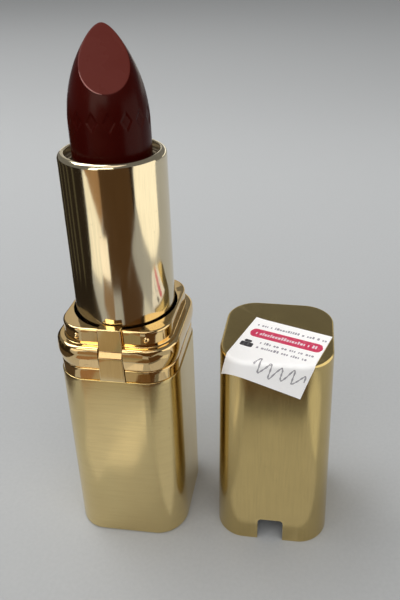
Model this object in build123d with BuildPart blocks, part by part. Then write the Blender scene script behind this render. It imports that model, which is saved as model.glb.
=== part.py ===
from build123d import *
import os
from math import cos, radians, sin

# A swivel-up lipstick, standing open: the base with the bullet raised, and the cap beside it.
# Millimetres. The origin is the centre of the base's underside, +Z is up, and the clasp faces -Y.

os.makedirs("parts", exist_ok=True)

# ---- Driving dimensions ----
case_width = 19.5            # base and cap, across the flats
case_corner = 5.1            # their vertical corner radius
metal_wall = 0.45            # drawn metal parts
shell_height = 33.3          # base cup, up to the collar
low_band_top = 35.4          # collar: lower band
ledge_height = 39.35         # collar: top of the bulged band, where the cap rests
collar_top = 42.1
register_width = 17.44       # collar: square part that the cap fits over
register_corner = 4.25
sleeve_radius = 7.95
sleeve_top = 67.95
bullet_radius = 5.83
running_gap = 0.05           # radial clearance between swivel parts
bullet_travel = 20.0
twist_turns = 1.25           # turns of the sleeve for the whole travel
cap_height = 37.2
cap_top_width = 18.22
cap_place = (25.03, 1.35)    # the cap's axis, beside the base

# ---- Base: levels and radii ----
shell_floor = 0.6
shell_foot_round = 0.5
label_radius = 6.0
label_thickness = 0.15
fit_gap = 0.05               # between nested parts of the base
slug_radius = 7.8
slug_bottom = shell_floor + fit_gap
slug_height = 4.2
slug_chamfer = 0.3
liner_seat = 10.0            # floor of the liner's bore, under the guide tube's foot
collar_bore = 8.35
spigot_bottom = 29.5         # the collar's square spigot, inside the cup

# ---- Swivel mechanism, from the bullet outwards ----
cup_inner = bullet_radius + 0.05
cup_outer = cup_inner + metal_wall
guide_inner = cup_outer + running_gap
guide_outer = guide_inner + 0.5
cam_inner = guide_outer + running_gap
sleeve_inner = sleeve_radius - metal_wall
cam_outer = sleeve_inner - 0.02
lug_radius = 0.8
lug_tip = cam_outer - 0.12
cup_floor = 51.3
cup_bottom = 1.0             # thickness of the cup's floor
cup_top = 65.3
lug_height = 53.3            # the lugs' axis, with the bullet raised
guide_top = 66.4
cam_top = 66.6
foot_thickness = 1.5
ring_section = 0.45          # drag ring: radius of its section
cam_bottom = liner_seat + foot_thickness + 2 * ring_section + running_gap
bead_height = 14.0           # snap bead that keeps the cam tube on the guide tube
bead_width = 0.6
bead_reach = 0.2
sleeve_bottom = 15.5
lip_round = 0.8              # the sleeve's rolled lip


def rounded_square(width, corner):
    """A rounded square centred on the sketch's origin."""
    return RectangleRounded(width, width, corner)


def facing(angle_up, angle_round):
    """A unit direction: degrees up from level, and degrees round from -Y towards +X."""
    level = cos(radians(angle_up))
    return (level * sin(radians(angle_round)), -level * cos(radians(angle_round)), sin(radians(angle_up)))


# ---- Base shell: a drawn cup with a shallow seat for the label ----
with BuildPart() as base_shell:
    with BuildSketch(Plane.XY):
        rounded_square(case_width, case_corner)
    extrude(amount=shell_height)
    fillet(base_shell.faces().sort_by(Axis.Z)[0].edges(), radius=shell_foot_round)
    with BuildSketch(Plane.XY.offset(shell_floor)):
        rounded_square(case_width - 2 * metal_wall, case_corner - metal_wall)
    extrude(amount=shell_height, mode=Mode.SUBTRACT)
    with BuildSketch(Plane.XY):
        Circle(label_radius)
    extrude(amount=label_thickness, mode=Mode.SUBTRACT)

# ---- Shade label, flush with the underside ----
with BuildPart() as shade_label:
    with BuildSketch(Plane.XY):
        Circle(label_radius - fit_gap)
    extrude(amount=label_thickness)

# ---- Weight: a round steel slug under the liner ----
with BuildPart() as base_weight:
    with BuildSketch(Plane.XY.offset(slug_bottom)):
        Circle(slug_radius)
    extrude(amount=slug_height)
    chamfer(base_weight.edges(), length=slug_chamfer)

# ---- Base liner: fills the cup, with a bore for the swivel and a pocket for the weight ----
liner_width = case_width - 2 * metal_wall - 2 * fit_gap
liner_corner = case_corner - metal_wall - fit_gap
with BuildPart() as base_liner:
    with BuildSketch(Plane.XY.offset(slug_bottom)):
        rounded_square(liner_width, liner_corner)
    extrude(amount=spigot_bottom - slug_bottom)
    with BuildSketch(Plane.XY.offset(liner_seat)):
        Circle(collar_bore)
    extrude(amount=spigot_bottom, mode=Mode.SUBTRACT)
    with BuildSketch(Plane.XY.offset(slug_bottom)):
        Circle(slug_radius + fit_gap)
    extrude(amount=slug_height + fit_gap, mode=Mode.SUBTRACT)

# ---- Collar: spigot, lower band, bulged band, ledge, and the register that the cap fits over ----
low_band_width = 19.15
bulge_width = 19.6           # bulged band, just under its ledge
bulge_rise = 0.12            # how far its middle stands beyond its edges
bulge_foot = 0.22            # how far its lower edge is set back
bulge_toe = 0.15             # bevel at its lower edge
bulge_brow = (0.3, 0.35)     # bevel at its upper edge: inwards and down
low_band_round = 0.2
register_round = 0.3
band_core = 8.2              # where the bands' profiles start, inside the register's wall
bump_spread = 5.45           # snap bumps: from the middle of their side
bump_seat = 8.45             # their centres, from the axis
bump_height = 40.7
bump_radius = 0.5
clasp_slot = 0.05            # gap each side of the clasp
clasp_seat = 8.74            # its back, from the axis
clasp_face = 9.45            # its front, above the knee
clasp_head_width = 3.6
clasp_foot_width = 4.0
clasp_top = 42.6
clasp_bottom = shell_height + fit_gap
knee_height = 37.6
knee_reach = 9.95
hook_reach = 8.2             # how near the axis the hook comes
hook_gap = 0.02              # between the hook and the register's top
clasp_bevel = 0.15
knee_rise = 1.2              # how far above the knee its curve starts
knee_setback = 0.03          # the bar's slight slope above the knee
foot_setback = 0.08          # and below it


def clasp_outline(gap):
    """The clasp from the front: a bar that widens a little downwards."""
    head = clasp_head_width / 2 + gap
    foot = clasp_foot_width / 2 + gap
    return Polygon((-foot, clasp_bottom - gap), (foot, clasp_bottom - gap),
                   (head, clasp_top + gap), (-head, clasp_top + gap), align=None)


with BuildSketch(Plane.XY.offset(low_band_top)) as band_path:
    rounded_square(2 * band_core, case_corner - bulge_width / 2 + band_core)

with BuildPart() as collar:
    with BuildSketch(Plane.XY.offset(spigot_bottom)):
        rounded_square(liner_width, liner_corner)
    extrude(amount=shell_height - spigot_bottom)
    with BuildSketch(Plane.XY.offset(shell_height)):
        rounded_square(low_band_width, case_corner - low_band_round)
    extrude(amount=low_band_top - shell_height)
    fillet(collar.faces().sort_by(Axis.Z)[-1].edges(), radius=low_band_round)
    with BuildSketch(Plane.XY.offset(low_band_top)):
        rounded_square(register_width, register_corner)
    extrude(amount=collar_top - low_band_top)
    fillet(collar.faces().sort_by(Axis.Z)[-1].edges(), radius=register_round)
    # the bulged band: one closed profile carried round a rounded square
    band_plane = Plane(origin=(0, -band_core, low_band_top), x_dir=(0, -1, 0), z_dir=(-1, 0, 0))
    bulge_reach = bulge_width / 2 - band_core
    bulge_height = ledge_height - low_band_top
    with BuildSketch(band_plane) as band_profile:
        with BuildLine():
            foot = (bulge_reach - bulge_foot, bulge_toe)
            belly = (bulge_reach + bulge_rise, bulge_height / 2)
            brow = (bulge_reach, bulge_height - bulge_brow[1])
            brow_back = (bulge_reach - bulge_brow[0], bulge_height)
            Polyline((0, 0), (bulge_reach - bulge_foot - bulge_toe, 0), foot)
            ThreePointArc(foot, belly, brow)
            Polyline(brow, brow_back, (0, bulge_height), (0, 0))
        make_face()
    sweep(path=band_path.face().outer_wire())

    # snap bumps that hold the cap, on the front and back of the register
    bump_points = [(sx * bump_spread, sy * bump_seat, bump_height) for sx in (-1, 1) for sy in (-1, 1)]
    with Locations(*bump_points):
        Sphere(bump_radius)
    # the channel that the clasp lies in
    with BuildSketch(Plane.XZ.offset(clasp_seat)):
        clasp_outline(clasp_slot)
    extrude(amount=case_width, mode=Mode.SUBTRACT)
    # the bore that the sleeve turns in
    with BuildSketch(Plane.XY.offset(spigot_bottom)):
        Circle(collar_bore)
    extrude(amount=collar_top, mode=Mode.SUBTRACT)

# ---- Clasp: a bar hooked over the collar, with a knee at the bulged band ----
with BuildPart() as collar_clasp:
    with BuildSketch(Plane.YZ) as clasp_side:
        with BuildLine():
            hook_under = collar_top + hook_gap
            bevel_top = (-clasp_face + clasp_bevel, clasp_top)
            bevel_foot = (-clasp_face, clasp_top - clasp_bevel)
            knee_top = (-clasp_face - knee_setback, knee_height + knee_rise)
            knee = (-knee_reach, knee_height)
            foot = (-knee_reach + foot_setback, clasp_bottom)
            Polyline((-hook_reach, hook_under), (-hook_reach, clasp_top), bevel_top, bevel_foot, knee_top)
            Spline(knee_top, knee, tangents=[(-0.05, -1), (-0.05, -1)])
            Polyline(knee, foot, (-clasp_seat, clasp_bottom), (-clasp_seat, hook_under),
                     (-hook_reach, hook_under))
        make_face()
    extrude(amount=clasp_foot_width, both=True)
    with BuildSketch(Plane.XZ):
        clasp_outline(0)
    extrude(amount=case_width, mode=Mode.INTERSECT)

# ---- Guide tube: fixed in the base, with two straight slots that keep the cup from turning ----
slot_spare = 0.1             # beyond the lugs, at each end of the travel
slot_bottom = lug_height - bullet_travel - lug_radius - slot_spare
slot_top = lug_height + lug_radius + slot_spare
with BuildPart() as guide_tube:
    with BuildSketch(Plane.XY.offset(liner_seat)):
        Circle(guide_outer)
    extrude(amount=guide_top - liner_seat)
    with BuildSketch(Plane.XY.offset(liner_seat)):
        Circle(collar_bore - fit_gap)
    extrude(amount=foot_thickness)
    with BuildSketch(Plane.XY.offset(bead_height)):
        Circle(guide_outer + bead_reach)
    extrude(amount=bead_width)
    with BuildSketch(Plane.XY.offset(liner_seat)):
        Circle(guide_inner)
    extrude(amount=guide_top, mode=Mode.SUBTRACT)
    with BuildSketch(Plane.YZ):
        with Locations((0, (slot_bottom + slot_top) / 2)):
            SlotOverall(slot_top - slot_bottom, 2 * (lug_radius + running_gap), rotation=90)
    extrude(amount=collar_bore, both=True, mode=Mode.SUBTRACT)

# ---- Drag ring: between the guide tube's foot and the cam tube ----
with BuildPart() as drag_ring:
    with Locations((0, 0, liner_seat + foot_thickness + ring_section)):
        Torus(guide_outer + ring_section + fit_gap, ring_section)

# ---- Cam tube: two helical grooves that lift the cup as the sleeve turns ----
helix_pitch = bullet_travel / twist_turns
groove_width = 2 * lug_radius + 0.3
groove_depth = 1.2           # more than the wall, so the grooves go right through
groove_run = 0.4             # how much further the groove rises and falls than the lugs
groove_radius = (cam_inner + cam_outer) / 2
groove_start = lug_height - bullet_travel - groove_run
start_angle = 360 * (bullet_travel + groove_run) / helix_pitch
bead_room = 0.2              # above and below the snap bead
bead_play = 0.08             # and outside it
with BuildPart() as groove_cutter:
    with BuildLine() as groove:
        Helix(helix_pitch, bullet_travel + 2 * groove_run, groove_radius,
              center=(0, 0, groove_start), lefthand=True)
    with BuildSketch(Plane(origin=groove.line @ 0, x_dir=(1, 0, 0), z_dir=groove.line % 0)):
        Rectangle(groove_depth, groove_width)
    sweep(path=groove.line, is_frenet=True)

with BuildPart() as cam_tube:
    with BuildSketch(Plane.XY.offset(cam_bottom)):
        Circle(cam_outer)
        Circle(cam_inner, mode=Mode.SUBTRACT)
    extrude(amount=cam_top - cam_bottom)
    with BuildSketch(Plane.XY.offset(bead_height - bead_room)):
        Circle(cam_inner + bead_reach + bead_play)
    extrude(amount=bead_width + 2 * bead_room, mode=Mode.SUBTRACT)
    for start in (0, 180):
        add(groove_cutter.part, rotation=(0, 0, start_angle + start), mode=Mode.SUBTRACT)

# ---- Sleeve: polished tube with its top edge rolled inwards ----
lip_radius = sleeve_radius - lip_round
lip_foot = sleeve_top - lip_round
inner_round = sleeve_inner - lip_radius
with BuildPart() as sleeve:
    with BuildSketch(Plane.XZ):
        with BuildLine():
            Line((lip_radius, lip_foot + inner_round), (lip_radius, sleeve_top))
            RadiusArc((lip_radius, sleeve_top), (sleeve_radius, lip_foot), lip_round)
            Polyline((sleeve_radius, lip_foot), (sleeve_radius, sleeve_bottom),
                     (sleeve_inner, sleeve_bottom), (sleeve_inner, lip_foot))
            RadiusArc((sleeve_inner, lip_foot), (lip_radius, lip_foot + inner_round), -inner_round)
        make_face()
    revolve(axis=Axis.Z)

# ---- Bullet cup: grips the wax, with a lug each side ----
with BuildPart() as bullet_cup:
    with BuildSketch(Plane.XY.offset(cup_floor)):
        Circle(cup_outer)
    extrude(amount=cup_top - cup_floor)
    with BuildSketch(Plane.YZ):
        with Locations((0, lug_height)):
            Circle(lug_radius)
    extrude(amount=lug_tip, both=True)
    with BuildSketch(Plane.XY.offset(cup_floor + cup_bottom)):
        Circle(cup_inner)
    extrude(amount=cup_top, mode=Mode.SUBTRACT)

# ---- Bullet: round, its nose drawn in and leaning back, with one slanted face ----
bullet_foot = cup_floor + cup_bottom + 0.02
nose_start = 71.6            # where the sides begin to draw in
nose_tip = 85.36             # where they would meet, above the slanted face
nose_power = 2.06            # shape of the nose's profile, with nose_root
nose_root = 0.742
nose_lean = 3.5              # how far back the tip stands from the axis
nose_sections = 9
last_section = 0.995         # share of the nose's height, cut away by the slanted face
face_axis_height = 81.5      # where the slanted face crosses the bullet's axis
face_tilt = 46.9             # the face's normal, up from level
face_turn = 18.2             # and round from -Y towards +X

with BuildPart() as bullet:
    with BuildSketch(Plane.XY.offset(bullet_foot)):
        Circle(bullet_radius)
    extrude(amount=nose_start - bullet_foot)
    for section in range(nose_sections + 1):
        share = last_section * (1 - (1 - section / nose_sections) ** 1.5)
        lean = nose_lean * share ** 3
        height = nose_start + (nose_tip - nose_start) * share
        back = facing(0, face_turn)
        with BuildSketch(Plane(origin=(-lean * back[0], -lean * back[1], height))):
            Circle(bullet_radius * (1 - share ** nose_power) ** nose_root)
    loft()
    face_plane = Plane(origin=(0, 0, face_axis_height), z_dir=facing(face_tilt, face_turn))
    split(bisect_by=face_plane, keep=Keep.BOTTOM)

# ---- Cap: shell and liner taper a little towards the top ----
cap_plane = Plane(origin=(cap_place[0], cap_place[1], 0))
cap_top_round = 0.45
notch_width = 4.4
notch_height = 4.6
notch_round = 0.7
liner_foot = 0.4             # the liner starts inside the shell's lower edge
liner_top = 32.0
liner_bore = 8.3
liner_bore_top = 31.2
mouth_height = 3.3           # square mouth that fits over the register
mouth_gap = 0.08
snap_reach = 9.05            # snap groove: from the cap's axis to its far wall
snap_height = 1.2


def cap_section(height, inset):
    """The cap's outline at a height, moved in by inset."""
    taper = (case_width - cap_top_width) * height / cap_height
    return rounded_square(case_width - taper - 2 * inset, case_corner - inset)


# the notch at the cap's front lower edge, round the clasp when the cap is on
with BuildPart() as notch_cutter:
    with BuildSketch(Plane.XZ.offset(-cap_place[1])):
        with Locations((cap_place[0], 0)):
            Rectangle(notch_width, 2 * notch_height)
    extrude(amount=case_width)

with BuildPart() as cap_shell:
    for height in (0, cap_height):
        with BuildSketch(cap_plane.offset(height)):
            cap_section(height, 0)
    loft()
    fillet(cap_shell.faces().sort_by(Axis.Z)[-1].edges(), radius=cap_top_round)
    for height in (0, cap_height - metal_wall):
        with BuildSketch(cap_plane.offset(height)):
            cap_section(height, metal_wall)
    loft(mode=Mode.SUBTRACT)
    add(notch_cutter.part, mode=Mode.SUBTRACT)
    notch_edges = cap_shell.edges().filter_by(Axis.Y).filter_by_position(
        Axis.Z, notch_height - 0.01, notch_height + 0.01)
    fillet(notch_edges, radius=notch_round)

with BuildPart() as cap_liner:
    for height in (liner_foot, liner_top):
        with BuildSketch(cap_plane.offset(height)):
            cap_section(height, metal_wall + fit_gap)
    loft()
    with BuildSketch(cap_plane.offset(liner_foot)):
        rounded_square(register_width + 2 * mouth_gap, register_corner + mouth_gap)
    extrude(amount=mouth_height - liner_foot, mode=Mode.SUBTRACT)
    with BuildSketch(cap_plane.offset(bump_height - ledge_height - snap_height / 2)):
        rounded_square(2 * snap_reach, register_corner + snap_reach - register_width / 2)
    extrude(amount=snap_height, mode=Mode.SUBTRACT)
    with BuildSketch(cap_plane.offset(liner_foot)):
        Circle(liner_bore)
    extrude(amount=liner_bore_top - liner_foot, mode=Mode.SUBTRACT)
    add(notch_cutter.part, mode=Mode.SUBTRACT)

# ---- Price sticker: paper, laid across the cap's top and folded down its front ----
sticker_width = 13.5
sticker_length = 14.7
sticker_turn = -18.6         # degrees about Z
sticker_centre = (0.05, -5.5)
paper = 0.12
paper_gap = 0.03
fold_radius = cap_top_round + paper_gap + paper / 2
fold_line = cap_top_width / 2 - cap_top_round
paper_reach = fold_line + fold_radius
fold_bottom = cap_height - cap_top_round
paper_drop = 7.6             # how far the flap could reach down the front
flap_lift = 0.15             # how far its end stands off
flap_middle = cap_height + cap_top_width / 2 + sticker_centre[1]
paper_middle = cap_height + paper_gap + paper / 2
fold_plane = Plane(origin=(cap_place[0], cap_place[1], 0), x_dir=(0, 1, 0), z_dir=(1, 0, 0))

with BuildPart() as sticker_top:
    with BuildSketch(fold_plane):
        with BuildLine():
            Line((sticker_length / 2, paper_middle), (-fold_line, paper_middle))
            RadiusArc((-fold_line, paper_middle), (-paper_reach, fold_bottom), -fold_radius)
        trace(line_width=paper)
    extrude(amount=case_width, both=True)
    with BuildSketch(cap_plane.offset(fold_bottom)):
        with Locations(sticker_centre):
            Rectangle(sticker_width, sticker_length, rotation=sticker_turn)
    extrude(amount=1, mode=Mode.INTERSECT)

with BuildPart() as sticker_flap:
    with BuildSketch(fold_plane):
        with BuildLine():
            Line((-paper_reach, fold_bottom), (-paper_reach - flap_lift, fold_bottom - paper_drop))
        trace(line_width=paper)
    extrude(amount=case_width, both=True)
    with BuildSketch(Plane.XZ.offset(-cap_place[1])):
        with Locations((cap_place[0] + sticker_centre[0], flap_middle)):
            Rectangle(sticker_width, sticker_length, rotation=sticker_turn)
    extrude(amount=case_width, mode=Mode.INTERSECT)
    split(bisect_by=Plane.XY.offset(fold_bottom), keep=Keep.BOTTOM)

with BuildPart() as price_sticker:
    add(sticker_top.part)
    add(sticker_flap.part)

pieces = {
    "base_shell": base_shell,
    "base_liner": base_liner,
    "base_weight": base_weight,
    "shade_label": shade_label,
    "collar": collar,
    "collar_clasp": collar_clasp,
    "guide_tube": guide_tube,
    "drag_ring": drag_ring,
    "cam_tube": cam_tube,
    "sleeve": sleeve,
    "bullet_cup": bullet_cup,
    "bullet": bullet,
    "cap_shell": cap_shell,
    "cap_liner": cap_liner,
    "price_sticker": price_sticker,
}
for name, piece in pieces.items():
    piece.part.label = name
    export_step(piece.part, f"parts/{name}.step")
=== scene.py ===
import math
import random

import bmesh
import bpy
from mathutils import Matrix, Vector


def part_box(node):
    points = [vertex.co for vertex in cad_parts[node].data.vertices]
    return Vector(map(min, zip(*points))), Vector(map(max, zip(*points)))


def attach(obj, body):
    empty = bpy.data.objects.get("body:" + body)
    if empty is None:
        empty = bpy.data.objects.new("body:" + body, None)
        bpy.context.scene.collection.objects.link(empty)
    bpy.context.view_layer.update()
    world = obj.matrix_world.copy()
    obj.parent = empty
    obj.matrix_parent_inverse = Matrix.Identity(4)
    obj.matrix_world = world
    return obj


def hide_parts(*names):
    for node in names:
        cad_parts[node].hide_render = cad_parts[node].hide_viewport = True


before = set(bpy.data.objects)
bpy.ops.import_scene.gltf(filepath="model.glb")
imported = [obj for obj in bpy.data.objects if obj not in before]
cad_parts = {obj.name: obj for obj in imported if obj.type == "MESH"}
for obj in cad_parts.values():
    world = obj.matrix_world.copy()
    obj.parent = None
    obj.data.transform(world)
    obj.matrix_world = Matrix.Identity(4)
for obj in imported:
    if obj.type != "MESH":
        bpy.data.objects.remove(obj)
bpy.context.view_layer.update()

# Lengths below are in millimetres, and MM turns them into Blender's metres.
MM = 0.001

# ---- Sizes that the CAD boxes don't give ----
CASE_CORNER = 5.1
METAL_WALL = 0.45
FOOT_ROUND = 0.5
SHELL_FLOOR = 0.62
SHELL_LIP_ROUND = 0.1
LABEL_RADIUS = 6.0
LABEL_DEPTH = 0.15
COLLAR_BORE = 8.35
REGISTER_HALF = 8.72
REGISTER_CORNER = 4.25
REGISTER_ROUND = 0.3
LEDGE_FILLET = 0.12
LOW_BAND_HALF = 9.575
LOW_BAND_TOP = 35.4
LEDGE = 39.35
BAND_BROW_HALF = 9.8
BAND_FOOT_HALF = 9.58
BAND_RISE = 0.12
BAND_BROW_ROUND = 0.47
LOW_BAND_ROUND = 0.2
COLLAR_FOOT = 0.02
CLASP_SEAT = 8.74
CLASP_FACE = 9.45
KNEE_REACH = 9.95
KNEE_HEIGHT = 37.6
KNEE_RUN = 1.25
HOOK_REACH = 8.2
CLASP_HEAD_HALF = 1.8
CLASP_FOOT_HALF = 2.0
CLASP_GAP = 0.07
CLASP_EDGE_ROUND = 0.13
CHANNEL_EDGE = 0.06
BUMP_SPREAD = 5.45
BUMP_SEAT = 8.45
BUMP_HEIGHT = 40.7
BUMP_RADIUS = 0.5
SLEEVE_LIP_ROUND = 0.8
SLEEVE_MOUTH_ROUND = 0.17
NOSE_START = 71.6
NOSE_TIP = 85.36
NOSE_POWER = 2.06
NOSE_ROOT = 0.742
NOSE_LEAN = 3.5
FACE_AXIS_HEIGHT = 81.5
FACE_TILT = math.radians(46.9)
FACE_TURN = math.radians(18.2)
FACE_EDGE_ROUND = 0.16
COVERED_TOP = 68.5
BULLET_COLUMNS = 360
BULLET_ROWS = 90
LOZENGE_PITCH = math.radians(24)
LOZENGE_CENTRE = 73.1
LOZENGE_HALF_WIDTH = 0.95
LOZENGE_HALF_HEIGHT = 1.5
LOZENGE_DEPTH = 0.11
LOZENGE_SLOPE = 0.30
CUT_LIP_COLUMNS = range(237, 283)
CUT_LIP_END_RADIUS = 0.015
CUT_LIP_SWELL = 0.085
CUT_LIP_SIDES = 10
CAP_TOP_HALF = 9.11
CAP_TOP_ROUND = 0.45
CAP_FOOT_EASE = 0.08
CAP_TOP_INNER_HALF = 4.5
NOTCH_WIDTH = 4.4
NOTCH_HEIGHT = 4.6
NOTCH_ROUND = 0.7
STICKER_WIDTH = 13.5
STICKER_LENGTH = 14.7
STICKER_TURN = math.radians(-18.6)
STICKER_CENTRE = (0.05, -5.5)
PAPER = 0.12

# ---- Sizes that they do ----


def box_mm(node):
    """A CAD node's lowest and highest corners, in millimetres."""
    low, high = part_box(node)
    return low / MM, high / MM


shell_low, shell_high = box_mm("base_shell")
collar_high = box_mm("collar")[1]
clasp_low, clasp_high = box_mm("collar_clasp")
sleeve_low, sleeve_high = box_mm("sleeve")
bullet_low, bullet_high = box_mm("bullet")
cap_low, cap_high = box_mm("cap_shell")
CASE_HALF = (shell_high.x - shell_low.x) / 2
SHELL_TOP = shell_high.z
COLLAR_TOP = collar_high.z
SLEEVE_RADIUS = (sleeve_high.x - sleeve_low.x) / 2
BULLET_RADIUS = (bullet_high.x - bullet_low.x) / 2
CAP_X = (cap_low.x + cap_high.x) / 2
CAP_Y = (cap_low.y + cap_high.y) / 2
CAP_HEIGHT = cap_high.z


# ======================================================================
# Meshes
# ======================================================================
CORNER_STEPS = 20
FLAT_STEPS = 6


def plain_object(name, bm):
    """Turns a bmesh into an object just as it is, and frees the bmesh."""
    mesh = bpy.data.meshes.new(name)
    bm.to_mesh(mesh)
    bm.free()
    made = bpy.data.objects.new(name, mesh)
    bpy.context.scene.collection.objects.link(made)
    return made


def solid_result(source):
    """A mesh of an object with its modifiers applied."""
    bpy.context.view_layer.update()
    graph = bpy.context.evaluated_depsgraph_get()
    return bpy.data.meshes.new_from_object(source.evaluated_get(graph))


def make_object(name, bm, body, node=None, sharp=35.0):
    """Turns a bmesh in millimetres into a smooth-shaded piece that rides on a body."""
    bmesh.ops.remove_doubles(bm, verts=bm.verts, dist=0.002)
    bmesh.ops.dissolve_degenerate(bm, dist=0.001, edges=bm.edges)
    bmesh.ops.recalc_face_normals(bm, faces=bm.faces)
    piece = plain_object(name, bm)
    piece.data.transform(Matrix.Scale(MM, 4))
    piece.data.shade_smooth()
    piece.data.set_sharp_from_angle(angle=math.radians(sharp))
    weighted = piece.modifiers.new("face_weighted_normals", "WEIGHTED_NORMAL")
    weighted.keep_sharp = True
    weighted.weight = 80
    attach(piece, body)
    if node:
        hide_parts(node)
    return piece


def square_ring(half, corner, z, centre=(0, 0)):
    """Points round a rounded square, anticlockwise from the left end of its front flat."""
    corner = max(corner, 0.05)
    flat = half - corner
    points = []
    for side in range(4):
        turn = side * math.pi / 2
        for step in range(FLAT_STEPS):
            along = -flat + 2 * flat * step / FLAT_STEPS
            points.append(turned(along, -half, turn))
        for step in range(CORNER_STEPS):
            angle = -math.pi / 2 + (math.pi / 2) * step / CORNER_STEPS
            points.append(turned(flat + corner * math.cos(angle), -flat + corner * math.sin(angle), turn))
    return [Vector((centre[0] + x, centre[1] + y, z)) for x, y in points]


def turned(x, y, angle):
    """A point turned about the origin."""
    return (x * math.cos(angle) - y * math.sin(angle), x * math.sin(angle) + y * math.cos(angle))


def circle_ring_like(ring, radius, z, centre=(0, 0)):
    """A round ring whose points lie in the same directions as another ring's."""
    points = []
    for point in ring:
        angle = math.atan2(point.y - centre[1], point.x - centre[0])
        points.append(Vector((centre[0] + radius * math.cos(angle), centre[1] + radius * math.sin(angle), z)))
    return points


def round_ring(radius, z, steps=192):
    """A plain circle of points."""
    angles = [2 * math.pi * step / steps for step in range(steps)]
    return [Vector((radius * math.cos(a), radius * math.sin(a), z)) for a in angles]


def band(bm, low, high):
    """Quads between two closed loops of vertices."""
    count = len(low)
    for i in range(count):
        j = (i + 1) % count
        bm.faces.new((low[i], low[j], high[j], high[i]))


def skin(bm, rings, closed=False):
    """Quads between rings that have the same number of points. Returns the rings' vertices."""
    rows = [[bm.verts.new(point) for point in ring] for ring in rings]
    pairs = list(zip(rows, rows[1:]))
    if closed:
        pairs.append((rows[-1], rows[0]))
    for low, high in pairs:
        band(bm, low, high)
    return rows


def fan(bm, row, point):
    """Closes a ring of vertices with triangles round a point."""
    centre = bm.verts.new(point)
    for i in range(len(row)):
        bm.faces.new((row[i], row[(i + 1) % len(row)], centre))


def cap_off(bm, row, height):
    """Closes a ring with a fan of triangles round a point on its axis."""
    middle = sum((vert.co for vert in row), Vector()) / len(row)
    middle.z = height
    fan(bm, row, middle)


def arc_points(centre, radius, start, end, steps):
    """Points (reach, height) along an arc, angles in degrees from the reach axis."""
    angles = [math.radians(start + (end - start) * step / steps) for step in range(steps + 1)]
    return [(centre[0] + radius * math.cos(a), centre[1] + radius * math.sin(a)) for a in angles]


def make_base_shell():
    """The drawn cup: a thin wall, a rounded foot and the label's shallow seat."""
    profile = arc_points((CASE_HALF - FOOT_ROUND, FOOT_ROUND), FOOT_ROUND, -90, 0, 8)
    profile.append((CASE_HALF, FOOT_ROUND + 0.6))
    profile.append((CASE_HALF, SHELL_TOP / 2))
    profile.append((CASE_HALF, SHELL_TOP - 0.6))
    lip_centre = (CASE_HALF - SHELL_LIP_ROUND, SHELL_TOP - SHELL_LIP_ROUND)
    profile += arc_points(lip_centre, SHELL_LIP_ROUND, 0, 90, 4)
    profile += [(CASE_HALF - METAL_WALL, SHELL_TOP), (CASE_HALF - METAL_WALL, SHELL_TOP - 0.3)]
    profile += [(CASE_HALF - METAL_WALL, 1.2), (CASE_HALF - METAL_WALL - 0.3, SHELL_FLOOR)]
    rings = [square_ring(half, CASE_CORNER - (CASE_HALF - half), z) for half, z in profile]
    outer = rings[0]
    seat = [
        circle_ring_like(outer, LABEL_RADIUS, LABEL_DEPTH),
        circle_ring_like(outer, LABEL_RADIUS, 0.0),
        circle_ring_like(outer, LABEL_RADIUS + 0.1, 0.0),
        square_ring(CASE_HALF - FOOT_ROUND - 0.4, CASE_CORNER - FOOT_ROUND - 0.4, 0.0),
    ]
    bm = bmesh.new()
    rows = skin(bm, seat + rings)
    cap_off(bm, rows[0], LABEL_DEPTH)
    cap_off(bm, rows[-1], SHELL_FLOOR)
    return make_object("base_shell_metal", bm, "base", "base_shell")


def clasp_half(z):
    """Half the clasp's width at a height: it widens a little downwards."""
    share = (z - SHELL_TOP) / (clasp_high.z - SHELL_TOP)
    return CLASP_FOOT_HALF + (CLASP_HEAD_HALF - CLASP_FOOT_HALF) * share


def collar_ring(half, corner, z):
    """A rounded square with the clasp's channel cut into its front."""
    flat = half - corner
    edge = clasp_half(z) + CLASP_GAP
    seat = min(half, CLASP_SEAT)
    front = [(-flat, -half), (-(flat + edge) / 2, -half), (-edge - CHANNEL_EDGE, -half), (-edge, -half)]
    channel = [(-edge, -seat), (edge, -seat)]
    mirrored = [(-x, y) for x, y in reversed(front)]
    rest = square_ring(half, corner, z)[FLAT_STEPS:]
    return [Vector((x, y, z)) for x, y in front + channel + mirrored[:-1]] + rest


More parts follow.
